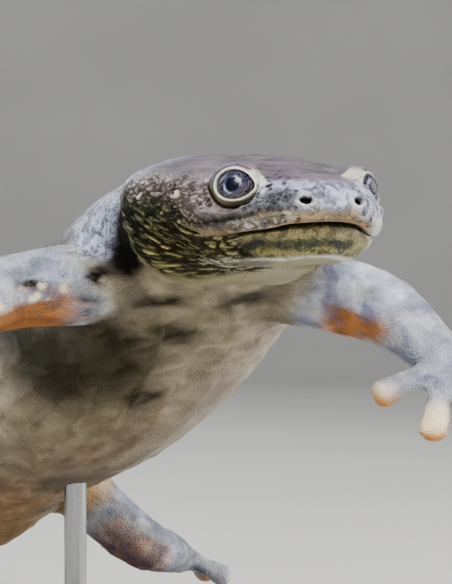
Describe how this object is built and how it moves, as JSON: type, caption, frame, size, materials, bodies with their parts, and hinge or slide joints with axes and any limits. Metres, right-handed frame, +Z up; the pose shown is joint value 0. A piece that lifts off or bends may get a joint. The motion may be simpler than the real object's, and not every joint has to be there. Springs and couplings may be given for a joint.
{
  "type": "iberian ribbed newt",
  "caption": "Life-size Iberian ribbed newt in a swimming pose, head level and limbs spread, with rib warts and a finned tail, held on rods above a flat display base.",
  "frame": {"origin": "middle of the underside of the stand base", "axes": "+Z up, -Y the way the newt faces, +X its left side"},
  "size_m": [0.0787, 0.2135, 0.0771],
  "materials": {
    "body_skin": "moist granular skin, mauve grey above, olive and cream below",
    "tail_skin": "moist skin, grey brown with darker blotches and an orange lower edge",
    "limb_skin": "moist skin, pale blue grey above, orange below",
    "digit_skin": "moist skin, blue grey with cream tips",
    "eye": "wet, blue black with a silver ring round the pupil",
    "rod_steel": "satin",
    "base_board": "dark stained, satin"
  },
  "bodies": {
    "root": {"head": "body_skin", "eye_left": "eye", "eye_right": "eye", "neck": "body_skin", "torso": "body_skin", "pelvis": "body_skin", "tail_base": "tail_skin", "tail_middle": "tail_skin", "tail_tip": "tail_skin", "upper_arm_left": "limb_skin", "upper_arm_right": "limb_skin", "forearm_left": "limb_skin", "forearm_right": "limb_skin", "hand_left": "digit_skin", "hand_right": "digit_skin", "thigh_left": "limb_skin", "thigh_right": "limb_skin", "shin_left": "limb_skin", "shin_right": "limb_skin", "foot_left": "digit_skin", "foot_right": "digit_skin", "stand_base": "base_board", "stand_rod_front": "rod_steel", "stand_rod_rear": "rod_steel"}
  },
  "joints": []
}
